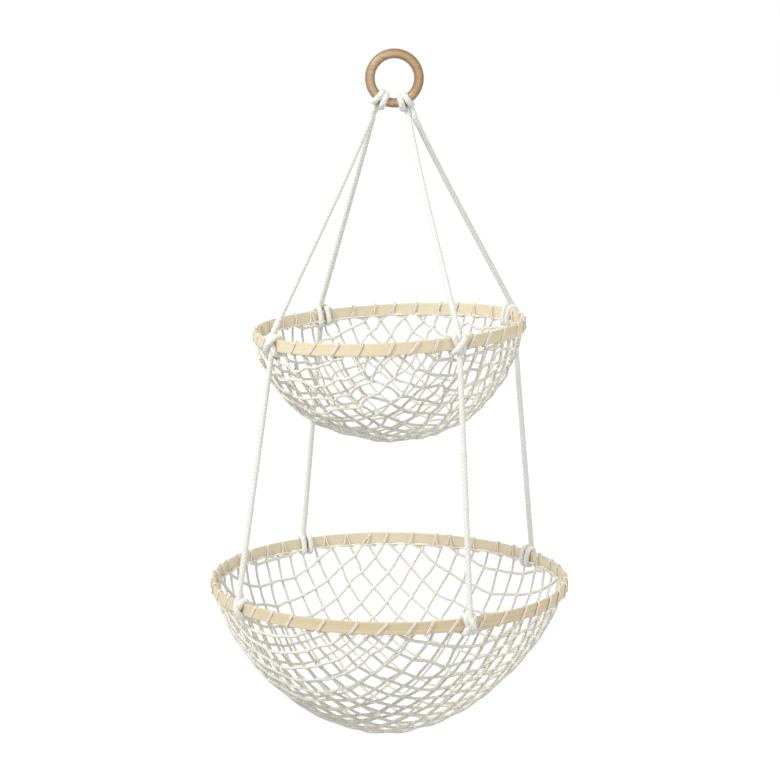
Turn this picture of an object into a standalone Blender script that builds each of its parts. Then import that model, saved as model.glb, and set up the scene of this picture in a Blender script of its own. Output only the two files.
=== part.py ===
"""Two-tier hanging storage basket: a wooden ring, two doubled cotton ropes knotted to it, and two
split-bamboo hoops, each with a knotted cotton net laced into it as a bowl.

Units are metres and +Z is up. The origin is the inner top of the ring, where a hook carries it.
The ring faces -Y, the front, and +X is to its right.
"""

import math

import bmesh
import bpy
import numpy as np
from mathutils import Matrix, Vector

# Wooden ring
RING_DIAMETER = 0.064
RING_BAR = 0.0107
LEFT_KNOT_ANGLE = math.radians(33)
RIGHT_KNOT_ANGLE = math.radians(24)
LEFT_LEGS_OUT = 0.0230
RIGHT_LEGS_OUT = 0.0185
LEFT_LEG_PITCH = 0.0058
RIGHT_LEG_PITCH = 0.0066

# Bamboo strips and the clearances between touching pieces
STRIP_HEIGHT = 0.0136
STRIP_THICKNESS = 0.003
STRIP_CHAMFER = 0.0005
SEAT_GAP = 0.0003
TURN_GAP = 0.0005
PIVOT_GAP = 0.0009
MERGE_DISTANCE = 0.00003

# Rope, net cord and lacing thread
ROPE = 0.0055
KNOT_ROPE = 0.0048
NET_CORD = 0.0026
THREAD = 0.002
ROPE_END_TAPER = 0.0012
ROPE_END_SHARE = 0.6

# Knots. Their lanes are counted in rope widths along the bar or the strip.
KNOT_STUB = 0.006
KNOT_SHOULDER = 0.0012
BAND_LANE_SHARE = 1.12
CROSSING_SHARES = ((1.1, 0.4, 0.5), (0.92, 1.0, 0.37), (0.35, 1.06, 0.13))

# Half a ring knot: degrees round the bar from its outside, lanes to the side and layers out
RING_TURN_SHARES = (
    (30, 0.6, 0),
    (90, 0.6, 0),
    (135, 0.65, 0),
    (180, 0.7, 0),
    (225, 0.75, 0),
    (270, 0.85, 0),
    (315, 1.25, 0),
    (360, 1.65, 0),
    (395, 1.7, 0.5),
    (415, 1.1, 1),
)
RING_LEG_DROP = 0.0095
RING_LEG_STUB = 0.003

# Tiers, measured from the ring's inner top
UPPER_DIAMETER = 0.300
UPPER_DROP = 0.296
UPPER_TILT = math.radians(2.8)
UPPER_DEPTH = 0.1226
UPPER_SHAPE_SHARES = (1.8, 0.466)
UPPER_BOTTOM_SHIFT = 0.004
UPPER_SIDE_BULGE = -0.0044
LOWER_DIAMETER = 0.400
LOWER_DROP = 0.5836
LOWER_TILT = 0.0
LOWER_DEPTH = 0.1713
LOWER_SHAPE_SHARES = (1.37, 0.52)
LOWER_BOTTOM_SHIFT = -0.0053
LOWER_SIDE_BULGE = -0.0013
TIER_OFFSET = -0.0055
RIM_DROP = 0.0025

# Nets: cells across and turn of the mesh. Knots: shares of a full turn from the right
UPPER_CELLS = 11
UPPER_NET_TURN = math.radians(1.5)
UPPER_KNOT_SHARES = {"back_right": 0.0617, "back_left": 0.3333, "front_left": 0.5942, "front_right": 0.8322}
UPPER_TURNS_BETWEEN_KNOTS = 5
LOWER_CELLS = 14
LOWER_NET_TURN = math.radians(-0.2)
LOWER_KNOT_SHARES = {"back_right": 0.0986, "back_left": 0.3344, "front_left": 0.5958, "front_right": 0.8206}
LOWER_TURNS_BETWEEN_KNOTS = 6
THREAD_SLANT = 0.0035
THREAD_CLEAR_OF_NET = 0.0013

# Smoothness of the round pieces
RING_STEPS = 40
BAR_STEPS = 12
HOOP_STEPS = 72
PROFILE_STEPS = 200
ROPE_ROUNDNESS = 2
KNOT_ROUNDNESS = 1
SAMPLES_PER_SEGMENT = 8

# Colour, roughness and metallic of each kind of surface
BEECH = ((0.62, 0.39, 0.21), 0.45, 0.0)
BAMBOO = ((0.78, 0.66, 0.42), 0.5, 0.0)
COTTON_ROPE = ((0.86, 0.84, 0.78), 0.9, 0.0)
COTTON_NET = ((0.80, 0.77, 0.70), 0.9, 0.0)
LACING = ((0.87, 0.84, 0.75), 0.85, 0.0)

OBJECT_NAME = "hanging_storage_basket"
CORNERS = ("front_left", "back_left", "front_right", "back_right")
MAIN_CORNER = "back_left"
QUARTER = math.pi / 2
LANE = KNOT_ROPE + TURN_GAP
SWING_HEIGHT = RING_BAR - RING_DIAMETER - RING_LEG_DROP


class Tier:
    """A hoop with its net: where it hangs, and how points on it are reached."""

    def __init__(self, name, hoop, bowl, mesh):
        diameter, drop, tilt = hoop
        depth, shape, bottom_shift, side_bulge = bowl
        cells, turn, knot_shares, turns = mesh
        self.name = name
        self.strip_radius = (diameter - STRIP_THICKNESS) / 2
        self.depth = depth
        self.shape = shape
        self.bottom_shift = bottom_shift
        self.side_bulge = side_bulge
        self.cells = cells
        self.turn = turn
        self.turns_between_knots = turns
        self.to_world = Matrix.Translation((TIER_OFFSET, 0, -drop)) @ Matrix.Rotation(-tilt, 4, "Y")
        self.rim_radius = self.strip_radius - STRIP_THICKNESS / 2 - SEAT_GAP - NET_CORD / 2
        self.rim_height = -RIM_DROP
        self.profile = self.bowl_profile()
        self.knot_spots = {c: self.nearest_spot(math.tau * share) for c, share in knot_shares.items()}

    def bowl_profile(self):
        """Lengths along the bowl from its bottom, with the radius and height at each, as arrays."""
        power, root = self.shape
        depth_shares = np.linspace(1, 0, PROFILE_STEPS)
        radii = self.rim_radius * (1 - depth_shares**power) ** root
        heights = self.rim_height - (self.depth - RIM_DROP) * depth_shares
        steps = np.hypot(np.diff(radii), np.diff(heights))
        return np.concatenate(([0.0], np.cumsum(steps))), radii, heights

    def net_point(self, across, along):
        """A point of the mesh, with across and along from -1 to 1 over the square net."""
        x = across * math.sqrt(1 - along * along / 2)
        y = along * math.sqrt(1 - across * across / 2)
        lengths, radii, heights = self.profile
        length = min(1.0, math.hypot(x, y)) * lengths[-1]
        radius = float(np.interp(length, lengths, radii))
        height = float(np.interp(length, lengths, heights))
        azimuth = math.atan2(y, x) + QUARTER / 2 + self.turn
        sunk = (self.rim_height - height) / (self.depth - RIM_DROP)
        shift = self.bottom_shift * sunk + self.side_bulge * math.sin(math.pi * sunk)
        return Vector((radius * math.cos(azimuth) + shift, radius * math.sin(azimuth), height))

    def side_point(self, side, across, along):
        """A point of the mesh counted from one of the square net's four sides."""
        for _ in range(side):
            across, along = -along, across
        return self.net_point(across, along)

    def cord_bearing(self, cord, height):
        """Direction of one of the cords that end at the net's edge, where it passes a height."""
        side, edge = divmod(cord % (4 * self.cells), self.cells)
        along = -1 + 2 * edge / self.cells
        point = self.side_point(side, 1, along)
        if edge:
            inner = self.side_point(side, 1 - 2 / self.cells, along)
            point = point.lerp(inner, (point.z - height) / (point.z - inner.z))
        return point.xy.normalized()

    def slot_azimuth(self, slot, height):
        """Middle of the gap between two neighbouring net cords where they pass a height."""
        middle = self.cord_bearing(slot, height) + self.cord_bearing(slot + 1, height)
        return math.atan2(middle.y, middle.x)

    def spot_azimuth(self, spot, height):
        """The net's spots are its cords and the gaps between them in turn, and even ones are cords."""
        cord, in_gap = divmod(spot, 2)
        if in_gap:
            return self.slot_azimuth(cord, height)
        bearing = self.cord_bearing(cord, height)
        return math.atan2(bearing.y, bearing.x)

    def nearest_spot(self, azimuth):
        """Spot where a rope knot's two turns pass the net nearest to an azimuth."""
        height = -STRIP_HEIGHT / 2 - SEAT_GAP - KNOT_ROPE / 2

        def distance(spot):
            apart = self.spot_azimuth(spot, height) - azimuth
            return abs((apart + math.pi) % math.tau - math.pi)

        return min(range(8 * self.cells), key=distance)

    def place(self, azimuth, outward, up):
        """World point at an azimuth, a distance outward from the strip's middle and a height."""
        radius = self.strip_radius + outward
        local = Vector((radius * math.cos(azimuth), radius * math.sin(azimuth), up))
        return self.to_world @ local


def clear_scene():
    for old in list(bpy.data.objects):
        bpy.data.objects.remove(old)


def add_collection(name):
    collection = bpy.data.collections.new(name)
    bpy.context.scene.collection.children.link(collection)
    return collection


def paint(piece, finish):
    colour, roughness, metallic = finish
    material = bpy.data.materials.new(piece.name)
    material.use_nodes = True
    surface = material.node_tree.nodes["Principled BSDF"]
    surface.inputs["Base Color"].default_value = (*colour, 1)
    surface.inputs["Roughness"].default_value = roughness
    surface.inputs["Metallic"].default_value = metallic
    piece.data.materials.append(material)


def add_piece(name, data, finish, matrix, collection):
    piece = bpy.data.objects.new(name, data)
    piece.matrix_world = matrix
    collection.objects.link(piece)
    paint(piece, finish)
    return piece


def add_cord(name, points, diameter, roundness, finish, collection, tapered=True, origin=None):
    """A tube through world points, with its origin on the first of them unless one is given."""
    origin = origin or points[0]
    curve = bpy.data.curves.new(name, "CURVE")
    curve.dimensions = "3D"
    curve.bevel_depth = diameter / 2
    curve.bevel_resolution = roundness
    curve.use_fill_caps = True
    widths = [1.0] * len(points)
    if tapered:
        points = with_tapered_ends(points)
        widths = [ROPE_END_SHARE] + [1.0] * (len(points) - 2) + [ROPE_END_SHARE]
    spline = curve.splines.new("POLY")
    spline.points.add(len(points) - 1)
    for knot, point, width in zip(spline.points, points, widths):
        knot.co = (*(point - origin), 1)
        knot.radius = width
    return add_piece(name, curve, finish, Matrix.Translation(origin), collection)


def with_tapered_ends(points):
    """The same route with a point just inside each end, where the full thickness begins."""
    first = points[0] + (points[1] - points[0]).normalized() * ROPE_END_TAPER
    last = points[-1] + (points[-2] - points[-1]).normalized() * ROPE_END_TAPER
    return [points[0], first, *points[1:-1], last, points[-1]]


def report_least_gap(name, points, diameter):
    """Print how near a winding comes to itself, measured between turns on sampled points."""
    route = []
    for start, end in zip(points, points[1:]):
        for step in range(SAMPLES_PER_SEGMENT):
            route.append(start.lerp(end, step / SAMPLES_PER_SEGMENT))
    route = np.array([point[:] for point in route])
    steps = np.linalg.norm(np.diff(route, axis=0), axis=1)
    lengths = np.concatenate(([0.0], np.cumsum(steps)))
    distances = np.linalg.norm(route[:, None] - route[None, :], axis=2)
    separate = np.abs(lengths[:, None] - lengths[None, :]) > math.pi * diameter
    least = distances[separate].min() - diameter
    print(f"{name}: least gap to itself {least * 1000:.2f} mm")


def on_ring(angle, around, reach):
    """Point on or about the ring's bar. The angle runs to the right from the ring's lowest point,
    around the bar it is 0 on the outside and a quarter turn at the back, and reach is the
    distance from the bar's middle."""
    bar_radius = (RING_DIAMETER - RING_BAR) / 2
    radius = bar_radius + reach * math.cos(around)
    centre_height = RING_BAR - RING_DIAMETER / 2
    return Vector((
        radius * math.sin(angle),
        reach * math.sin(around),
        centre_height - radius * math.cos(angle),
    ))


def add_ring(collection):
    bpy.ops.mesh.primitive_torus_add(
        major_segments=RING_STEPS,
        minor_segments=BAR_STEPS,
        major_radius=(RING_DIAMETER - RING_BAR) / 2,
        minor_radius=RING_BAR / 2,
        location=(0, 0, RING_BAR - RING_DIAMETER / 2),
        rotation=(QUARTER, 0, 0),
    )
    ring = bpy.context.object
    ring.name = "wooden_ring"
    ring.data.shade_smooth()
    for holder in ring.users_collection:
        holder.objects.unlink(ring)
    collection.objects.link(ring)
    paint(ring, BEECH)


def swing_point(corner):
    """Where one upper cord meets its leg of the ring knot. All four lie on one level line."""
    if corner.endswith("right"):
        middle, pitch = RIGHT_LEGS_OUT, RIGHT_LEG_PITCH
    else:
        middle, pitch = -LEFT_LEGS_OUT, LEFT_LEG_PITCH
    hand = 1 if corner in ("back_left", "back_right") else -1
    return Vector((middle + hand * pitch / 2, 0, SWING_HEIGHT))


def upper_line(corner, knot):
    """Direction of an upper cord, down from the ring knot to its knot on the upper hoop."""
    return (knot.upper_base() - swing_point(corner)).normalized()


def ring_knot_half(knot_angle, hand):
    """One half of a lark's head, from its leg to the middle of the strand across its back."""
    chord_share = math.cos(QUARTER / 4)
    inner_layer = (RING_BAR / 2 + SEAT_GAP + KNOT_ROPE / 2) / chord_share
    route = []
    for degrees, lanes, layers in RING_TURN_SHARES:
        around = math.radians(degrees)
        reach = inner_layer + layers * LANE
        radius = (RING_DIAMETER - RING_BAR) / 2 + reach * math.cos(around)
        angle = knot_angle + hand * lanes * LANE / radius
        route.append(on_ring(angle, around, reach))
    return route


def add_ring_knot(name, knot_angle, outer_knot, inner_knot, collection):
    """A rope doubled over the bar: two legs, two turns and a strand across their back."""
    halves = []
    outward = math.copysign(1, knot_angle)
    for hand, knot in ((outward, outer_knot), (-outward, inner_knot)):
        bend = swing_point(knot.corner)
        line = upper_line(knot.corner, knot)
        leg = [bend - line * PIVOT_GAP / 2, bend - line * RING_LEG_STUB]
        halves.append(leg + ring_knot_half(knot_angle, hand))
    route = halves[0] + halves[1][::-1]
    report_least_gap(name, route, KNOT_ROPE)
    add_cord(name, route, KNOT_ROPE, KNOT_ROUNDNESS, COTTON_ROPE, collection)


def add_hoop(tier, collection):
    """The bamboo strip bent to a ring: a chamfered rectangle turned about the tier's axis."""
    half_height = STRIP_HEIGHT / 2
    half_thickness = STRIP_THICKNESS / 2
    outline = (
        (half_thickness, half_height - STRIP_CHAMFER),
        (half_thickness, STRIP_CHAMFER - half_height),
        (half_thickness - STRIP_CHAMFER, -half_height),
        (STRIP_CHAMFER - half_thickness, -half_height),
        (-half_thickness, STRIP_CHAMFER - half_height),
        (-half_thickness, half_height - STRIP_CHAMFER),
        (STRIP_CHAMFER - half_thickness, half_height),
        (half_thickness - STRIP_CHAMFER, half_height),
    )
    name = f"{tier.name}_hoop"
    mesh = bpy.data.meshes.new(name)
    shape = bmesh.new()
    corners = [shape.verts.new((tier.strip_radius + out, 0, up)) for out, up in outline]
    for start, end in zip(corners, corners[1:] + corners[:1]):
        shape.edges.new((start, end))
    shape.to_mesh(mesh)
    shape.free()
    hoop = add_piece(name, mesh, BAMBOO, tier.to_world, collection)
    turn = hoop.modifiers.new("turned", "SCREW")
    turn.steps = HOOP_STEPS
    turn.render_steps = HOOP_STEPS
    turn.use_merge_vertices = True
    turn.merge_threshold = MERGE_DISTANCE
    return hoop


def add_net(tier, collection):
    """The knotted net: a square mesh drawn into a bowl, with a cord along each of its edges."""
    name = f"{tier.name}_net"
    mesh = bpy.data.meshes.new(name)
    shape = bmesh.new()
    bmesh.ops.create_grid(shape, x_segments=tier.cells, y_segments=tier.cells, size=1)
    for vertex in shape.verts:
        vertex.co = tier.net_point(vertex.co.x, vertex.co.y)
    shape.to_mesh(mesh)
    shape.free()
    net = add_piece(name, mesh, COTTON_NET, tier.to_world, collection)
    cords = net.modifiers.new("cords", "WIREFRAME")
    cords.thickness = NET_CORD
    cords.use_even_offset = True
    cords.use_boundary = True
    cords.use_replace = True
    return net


def lacing_slots(tier):
    """Mesh openings that the lacing goes through, evenly from one rope knot to the next. It keeps
    clear of the knots and of the net's corners, where the cords crowd together."""
    knots = sorted(spot // 2 for spot in tier.knot_spots.values())
    turns = tier.turns_between_knots
    chosen = []
    for start, end in zip(knots, knots[1:] + [knots[0] + 4 * tier.cells]):
        free = [slot for slot in range(start + 2, end - 1) if 0 < slot % tier.cells < tier.cells - 1]
        for turn in range(turns):
            chosen.append(free[int((len(free) - 1) * turn / (turns - 1) + 0.5)])
    return chosen


def add_lacing(tier, collection):
    """Thread wound round the strip and the net's rim: up the outside, over, and on inside."""
    edge = STRIP_HEIGHT / 2 + SEAT_GAP + THREAD / 2
    outside = STRIP_THICKNESS / 2 + SEAT_GAP + THREAD / 2
    inside = STRIP_THICKNESS / 2 + 2 * SEAT_GAP + NET_CORD + THREAD / 2 + THREAD_CLEAR_OF_NET
    slant = THREAD_SLANT / tier.strip_radius
    openings = lacing_slots(tier)
    route = []
    for here, after in zip(openings, openings[1:] + [None]):
        azimuth = tier.slot_azimuth(here, -edge)
        route.append(tier.place(azimuth - slant, -inside, -edge))
        route.append(tier.place(azimuth - slant, outside, -edge))
        route.append(tier.place(azimuth + slant, outside, edge))
        route.append(tier.place(azimuth + slant, -outside, edge))
        slots_on = 2 if after is None else after - here
        start = azimuth + slant
        sweep = (tier.slot_azimuth(here + slots_on, -edge) - slant - start) % math.tau
        for step in range(1, slots_on):
            share = step / slots_on
            up = edge - (edge + RIM_DROP) * share
            route.append(tier.place(start + share * sweep, -inside, up))
    name = f"{tier.name}_lacing"
    report_least_gap(name, route, THREAD)
    return add_cord(name, route, THREAD, KNOT_ROUNDNESS, LACING, collection, tapered=False)


class HoopKnot:
    """A clove hitch round the strip and the net's rim, with the rope's ends above and below it."""

    def __init__(self, tier, corner):
        self.tier = tier
        self.corner = corner
        self.edge = STRIP_HEIGHT / 2 + SEAT_GAP + KNOT_ROPE / 2
        self.outside = STRIP_THICKNESS / 2 + SEAT_GAP + KNOT_ROPE / 2
        thread_inside = THREAD_CLEAR_OF_NET + THREAD + SEAT_GAP
        self.inside = self.outside + NET_CORD + 2 * SEAT_GAP + thread_inside
        self.azimuth = tier.spot_azimuth(tier.knot_spots[corner], -self.edge)

    def at(self, lanes, outward, up):
        """Point of the knot: lanes to the left as seen from outside, outward and up."""
        azimuth = self.azimuth - lanes * LANE / self.tier.strip_radius
        return self.tier.place(azimuth, outward, up)

    def lower_base(self):
        return self.at(0, self.outside, KNOT_SHOULDER - self.edge)

    def upper_base(self):
        return self.at(0, self.outside, self.edge - KNOT_SHOULDER)

    def round_edge(self, lanes, sign):
        """Outer bend round the strip's edge: its top with sign 1 and its bottom with sign -1."""
        half_bend = KNOT_ROPE / 2 + SEAT_GAP
        outward = STRIP_THICKNESS / 2 + half_bend * math.sqrt(0.5)
        up = STRIP_HEIGHT / 2 + half_bend * math.sqrt(0.5)
        return [
            self.at(lanes, self.outside, sign * STRIP_HEIGHT / 2),
            self.at(lanes, outward, sign * up),
            self.at(lanes, STRIP_THICKNESS / 2, sign * self.edge),
        ]

    def down_the_inside(self, lanes):
        corner = self.inside - KNOT_ROPE / 2
        return [
            self.at(lanes, -corner, self.edge),
            self.at(lanes, -self.inside, STRIP_HEIGHT / 2),
            self.at(lanes, -self.inside, -STRIP_HEIGHT / 2),
            self.at(lanes, -corner, -self.edge),
        ]

    def crossing(self):
        """The strand that crosses over the front of both turns, rising from left to right."""
        rising = []
        for lanes, layers, climb in CROSSING_SHARES:
            rising.append(self.at(lanes, self.outside + layers * LANE, -climb * STRIP_HEIGHT))
        for lanes, layers, climb in CROSSING_SHARES[::-1]:
            rising.append(self.at(-lanes, self.outside + layers * LANE, climb * STRIP_HEIGHT))
        return rising

    def tucked_end(self):
        """The rope's own end, under the strip between the turns."""
        return self.round_edge(0, -1)[::-1]

    def route(self, below, above):
        """The whole knot between points below it and points above it."""
        return [
            *below,
            *self.round_edge(BAND_LANE_SHARE, 1),
            *self.down_the_inside(BAND_LANE_SHARE),
            *self.round_edge(BAND_LANE_SHARE, -1)[:0:-1],
            *self.crossing(),
            *self.round_edge(-BAND_LANE_SHARE, 1)[1:],
            *self.down_the_inside(-BAND_LANE_SHARE),
            *self.round_edge(-BAND_LANE_SHARE, -1)[::-1],
            *above,
        ]

    def add(self, below, above, collection):
        name = f"{self.tier.name}_knot_{self.corner}"
        route = self.route(below, above)
        report_least_gap(name, route, KNOT_ROPE)
        return add_cord(name, route, KNOT_ROPE, KNOT_ROUNDNESS, COTTON_ROPE, collection)


def add_rope_run(upper_knot, lower_knot, collection):
    """One tail of a rope: upper cord, knot on the upper hoop, lower cord, knot on the lower."""
    corner = upper_knot.corner
    half_gap = PIVOT_GAP / 2
    line = upper_line(corner, upper_knot)
    upper_stub = upper_knot.upper_base() - line * KNOT_STUB
    upper_route = [swing_point(corner) + line * half_gap, upper_stub - line * SEAT_GAP]

    lower_line = (lower_knot.upper_base() - upper_knot.lower_base()).normalized()
    top_pivot = upper_knot.lower_base() + lower_line * KNOT_STUB
    bottom_pivot = lower_knot.upper_base() - lower_line * KNOT_STUB
    lower_route = [top_pivot + lower_line * half_gap, bottom_pivot - lower_line * half_gap]
    below = [top_pivot - lower_line * half_gap, upper_knot.lower_base()]
    above = [lower_knot.upper_base(), bottom_pivot + lower_line * half_gap]

    rope = (ROPE, ROPE_ROUNDNESS, COTTON_ROPE, collection)
    return {
        "upper_cord": add_cord(f"upper_cord_{corner}", upper_route, *rope),
        "upper_knot": upper_knot.add(below, [upper_knot.upper_base(), upper_stub], collection),
        "lower_cord": add_cord(f"lower_cord_{corner}", lower_route, *rope, origin=top_pivot),
        "lower_knot": lower_knot.add(lower_knot.tucked_end(), above, collection),
        "bottom_pivot": bottom_pivot,
    }


def add_pivot(name, point, collection):
    """An empty on a joint's axis, for the pieces that turn about it together."""
    pivot = bpy.data.objects.new(name, None)
    pivot.matrix_world = Matrix.Translation(point)
    collection.objects.link(pivot)
    return pivot


def hang(pieces, carrier):
    """Parent pieces to what carries them, where they are."""
    for piece in pieces:
        piece.parent = carrier
        piece.matrix_parent_inverse = carrier.matrix_world.inverted()


def main():
    clear_scene()
    collection = add_collection(OBJECT_NAME)
    upper = Tier(
        "upper",
        (UPPER_DIAMETER, UPPER_DROP, UPPER_TILT),
        (UPPER_DEPTH, UPPER_SHAPE_SHARES, UPPER_BOTTOM_SHIFT, UPPER_SIDE_BULGE),
        (UPPER_CELLS, UPPER_NET_TURN, UPPER_KNOT_SHARES, UPPER_TURNS_BETWEEN_KNOTS),
    )
    lower = Tier(
        "lower",
        (LOWER_DIAMETER, LOWER_DROP, LOWER_TILT),
        (LOWER_DEPTH, LOWER_SHAPE_SHARES, LOWER_BOTTOM_SHIFT, LOWER_SIDE_BULGE),
        (LOWER_CELLS, LOWER_NET_TURN, LOWER_KNOT_SHARES, LOWER_TURNS_BETWEEN_KNOTS),
    )
    add_ring(collection)
    knots = {(tier, corner): HoopKnot(tier, corner) for tier in (upper, lower) for corner in CORNERS}
    left = (knots[upper, "front_left"], knots[upper, "back_left"])
    right = (knots[upper, "back_right"], knots[upper, "front_right"])
    add_ring_knot("left_ring_knot", -LEFT_KNOT_ANGLE, *left, collection)
    add_ring_knot("right_ring_knot", RIGHT_KNOT_ANGLE, *right, collection)
    runs = {c: add_rope_run(knots[upper, c], knots[lower, c], collection) for c in CORNERS}

    swing = add_pivot("upper_tier_pivot", Vector((0, 0, SWING_HEIGHT)), collection)
    basket = add_pivot("lower_tier_pivot", runs[MAIN_CORNER]["bottom_pivot"], collection)
    for tier, carrier in ((upper, swing), (lower, basket)):
        hang([add_hoop(tier, collection), add_net(tier, collection)], carrier)
        hang([add_lacing(tier, collection)], carrier)
    for run in runs.values():
        hang([run["upper_cord"], run["upper_knot"], run["lower_cord"]], swing)
        hang([run["lower_knot"]], basket)
    hang([basket], runs[MAIN_CORNER]["lower_cord"])


main()
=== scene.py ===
"""Looks of the two-tier hanging storage basket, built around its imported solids."""

import math

import bpy
import numpy as np
from mathutils import Matrix, Vector


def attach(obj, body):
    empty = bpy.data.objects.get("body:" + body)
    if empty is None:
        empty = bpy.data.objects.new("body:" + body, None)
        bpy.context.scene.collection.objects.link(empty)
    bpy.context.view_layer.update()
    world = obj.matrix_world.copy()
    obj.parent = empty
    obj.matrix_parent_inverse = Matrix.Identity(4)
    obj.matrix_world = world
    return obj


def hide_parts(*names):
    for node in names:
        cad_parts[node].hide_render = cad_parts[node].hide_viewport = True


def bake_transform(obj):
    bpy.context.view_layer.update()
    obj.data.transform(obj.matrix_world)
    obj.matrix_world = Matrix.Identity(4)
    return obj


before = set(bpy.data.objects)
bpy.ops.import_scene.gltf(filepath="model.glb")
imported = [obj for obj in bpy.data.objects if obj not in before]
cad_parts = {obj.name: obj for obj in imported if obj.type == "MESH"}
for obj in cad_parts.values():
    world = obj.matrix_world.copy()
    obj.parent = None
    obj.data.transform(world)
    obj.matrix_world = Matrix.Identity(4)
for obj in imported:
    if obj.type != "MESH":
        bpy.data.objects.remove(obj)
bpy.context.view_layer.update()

# Camera, fitted to the photograph
CAMERA_PLACE = (-0.0055, -2.5032, 0.0783)
CAMERA_DOWN = 0.1757
FOCAL_SHARE = 2283.85 / 780
SENSOR = 36.0
SHIFT = 0.0008

# Ring
RING_DIAMETER = 0.064
RING_BAR = 0.0107
RING_STEPS = 200
BAR_SIDES = 48
LEFT_KNOT_ANGLE = -math.radians(33)
RIGHT_KNOT_ANGLE = math.radians(24)
# Middle of each pair of legs, how far apart they are seen, and how far one is behind the other
LEFT_LEGS = (-0.0243, 0.0019, 0.0050)
RIGHT_LEGS = (0.0185, 0.0062, 0.0)
# How far the pressed rope's middle lies from the bar
RING_SEAT = 0.0016
RING_LEG_DROP = 0.0095
RING_LEG_STUB = 0.003
SWING_HEIGHT = RING_BAR - RING_DIAMETER - RING_LEG_DROP
RING_CENTRE = Vector((0, 0, RING_BAR - RING_DIAMETER / 2))

# Tiers, whose middle is a little to the left of the ring's
TIER_OFFSET = -0.0055
RIM_DROP = 0.0025
PROFILE_STEPS = 200
SLOPE_REACH = 0.001
# How far short of the rim the net ends on its rim cord, at the strip's lower edge
NET_SHORTER = 0.0031

# Strips
STRIP_HEIGHT = 0.0136
STRIP_THICKNESS = 0.003
# Round a strip's section from the outside of its upper edge to the middle of its inner side
CUT_SIDE_MIDDLE = 0.0099
STRIP_ROUNDING = 0.0006
STRIP_STEPS = 420
CORNER_STEPS = 3
FACE_ROWS = 6
# Waves round a strip, and how far they push it out and lift it
OUT_WAVES = ((2, 3, 5, 8), (0.00035, 0.0003, 0.0002, 0.00012))
UP_WAVES = ((2, 3, 5, 9), (0.0003, 0.00025, 0.00015, 0.0001))

# Ropes
SEAT_GAP = 0.0003
ROPE_RADIUS = 0.0033
KNOT_RADIUS = 0.0023
RING_KNOT_RADIUS = 0.0036
KNOT_ROPE = 0.0048
LANE = KNOT_ROPE + 0.0005
ROPE_PITCH = 0.0135
ROPE_STEP = 0.0009
ROPE_SIDES = 18
ROPE_STRANDS = 3
ROPE_GROOVE = 0.065
# Falls to the side of a strand, where one is full round
STRAND_FALL = 0.75
STRAIGHT_STEP = 0.012
SMOOTHING_ROUNDS = 6
SMOOTHING_SHARE = 0.25
# How far each tail bows sideways between the ring and the upper hoop, and where that is fullest
BOWS = {"front_left": 0.0017, "back_left": 0.0004, "front_right": -0.0017, "back_right": -0.0017}
BOW_SKEW = 1.7
# A cord's ends, where they lie inside the pieces that they meet, as a share of its radius
TUCKED = 0.95
TUCKED_RINGS = 3
# How far from a knot's middle the rope keeps the knot's width, and how soon it has its own again
HOOP_KNOT_REACH = 0.014
HOOP_KNOT_FADE = 0.010
RING_KNOT_REACH = 0.010
RING_KNOT_FADE = 0.006

# Half a ring knot: degrees round the bar, lanes to the side and layers out
RING_TURNS = (
    (30, 0.5, 0), (90, 0.53, 0), (135, 0.5, 0), (180, 0.48, 0), (225, 0.55, 0),
    (270, 0.68, 0), (315, 0.86, 0), (360, 1.0, 0), (395, 1.05, 0.5), (415, 0.8, 1),
)

# Hoop knots: lanes of the two bands inside the strip, and the strand across the outside
KNOT_STUB = 0.006
KNOT_SHOULDER = 0.0012
# How far outside the strip's middle a cord comes down to its lower knot
LOWER_ARRIVAL = 0.0046
BANDS = {"upper": 1.0, "lower": 0.87}
CROSSING = ((0.98, 0.4, 0.5), (0.82, 0.9, 0.37), (0.31, 0.96, 0.13))
CROSSING_LAYERS = {"upper": 1.0, "lower": 0.15}
# The standing part over it on the lower knots: bands to the side, layers out, share of the height
STANDING = ((0.85, 0.5, -0.3), (0.45, 0.9, 0.0), (0.15, 0.7, 0.32))
# A band inside the strip: how far further in it passes the rim cord, how it rounds the strip's
# upper and lower edge, and how far from them it is straight
OVER_RIM_CORD = 0.0024
UPPER_ROUNDING = (0.7, 0.94)
LOWER_ROUNDING = 0.75
STRAIGHT_FROM_TOP = 0.001
STRAIGHT_TO_BOTTOM = 0.002

# Lacing
THREAD = 0.0016
THREAD_STEP = 0.0012
THREAD_SIDES = 8
THREAD_GROOVE = 0.12
THREAD_PITCH = 0.005
LACING_TURNS = {"upper": 37, "lower": 46}
# Where it crosses the front of the strips, in degrees about the hoop
STROKES = {
    "upper": (215.1, 227.0, 237.0, 247.6, 258.0, 270.5, 280.0, 289.0, 305.6, 314.3, 324.2, 337.2),
    "lower": (223.1, 230.6, 238.0, 249.0, 259.3, 267.8, 276.5, 282.3, 299.2, 307.1, 316.1, 322.7,
              330.2),
}
# Where its legs inside the strip lean one way, in degrees about the hoop
LEANING = {"upper": (55, 112), "lower": (75, 105)}
# Gaps between strokes that get more of them, the unevenness of those, and how far knots keep clear
WIDE_GAP = 1.9
UNEVENNESS = 0.1
KNOT_CLEARANCE = 2.4
# Slant of a stroke in degrees, gap between its two turns, and spread of the legs inside
SLANT, SLANT_SPREAD = 29, 4
TURN_SPACING = 1.02
LEG_SPREAD, LEG_SPREAD_SPREAD = 0.0042, 0.0006
FIRST_LEG, SECOND_LEG, LEANING_LEG = 0.8, -1.0, 1.6
FOOT_SHARES = (0.3, 0.65, 1.0)
FOOT_HEIGHT = -0.0060
LEG_HEIGHT = -0.0001
# How far the thread keeps from the strip's edges, and from where on it rounds them
OVER_EDGE, UNDER_EDGE, UNDER_RIM = 0.0003, 0.0002, 0.0012
ROUNDS_INSIDE, ROUNDS_OUTSIDE = 0.0012, 0.001

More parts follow.
